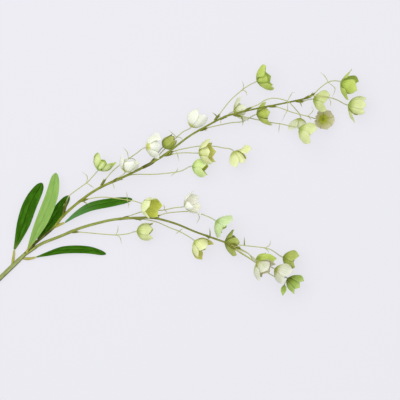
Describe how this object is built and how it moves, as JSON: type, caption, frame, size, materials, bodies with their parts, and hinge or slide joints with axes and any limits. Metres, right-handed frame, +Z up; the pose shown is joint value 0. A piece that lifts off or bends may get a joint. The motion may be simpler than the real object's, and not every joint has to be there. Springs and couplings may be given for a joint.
{
  "type": "bell flower stem",
  "caption": "Cut flower stem lying flat: a stalk forked low into long arching sprays of small cup-shaped bells on thin stalks, with strap-like leaves at the fork.",
  "frame": {"origin": "middle of the plan outline, on the surface that the stem lies on", "axes": "+X from the cut end towards the tips of the sprays, +Y across towards the upper spray, +Z up from the surface"},
  "size_m": [0.6152, 0.398, 0.0592],
  "materials": {
    "stem": "matte yellow-green",
    "bloom_green": "matte yellow-green, paler at the rim",
    "bloom_white": "matte white with a green foot",
    "leaf_dark": "satin dark green",
    "leaf_light": "matte light green underside"
  },
  "bodies": {
    "root": {"stalk": "stem", "upper_branch": "stem", "lower_branch": "stem", "leaf_1": "leaf_dark", "leaf_2": "leaf_light", "leaf_3": "leaf_dark", "leaf_4": "leaf_dark", "leaf_5": "leaf_dark", "upper_bloom_01": "bloom_green", "upper_bloom_02": "bloom_white", "upper_bloom_03": "bloom_white", "upper_bloom_04": "bloom_green", "upper_bloom_05": "bloom_white", "upper_bloom_06": "bloom_green", "upper_bloom_07": "bloom_green", "upper_bloom_08": "bloom_green", "upper_bloom_09": "bloom_green", "upper_bloom_10": "bloom_white", "upper_bloom_11": "bloom_green", "upper_bloom_12": "bloom_green", "upper_bloom_13": "bloom_green", "upper_bloom_14": "bloom_green", "upper_bloom_15": "bloom_green", "upper_bloom_16": "bloom_green", "upper_bloom_17": "bloom_green", "upper_bloom_18": "bloom_green", "lower_bloom_01": "bloom_green", "lower_bloom_02": "bloom_white", "lower_bloom_03": "bloom_green", "lower_bloom_04": "bloom_green", "lower_bloom_05": "bloom_green", "lower_bloom_06": "bloom_green", "lower_bloom_07": "bloom_white", "lower_bloom_08": "bloom_white", "lower_bloom_09": "bloom_green", "lower_bloom_10": "bloom_green"}
  },
  "joints": []
}
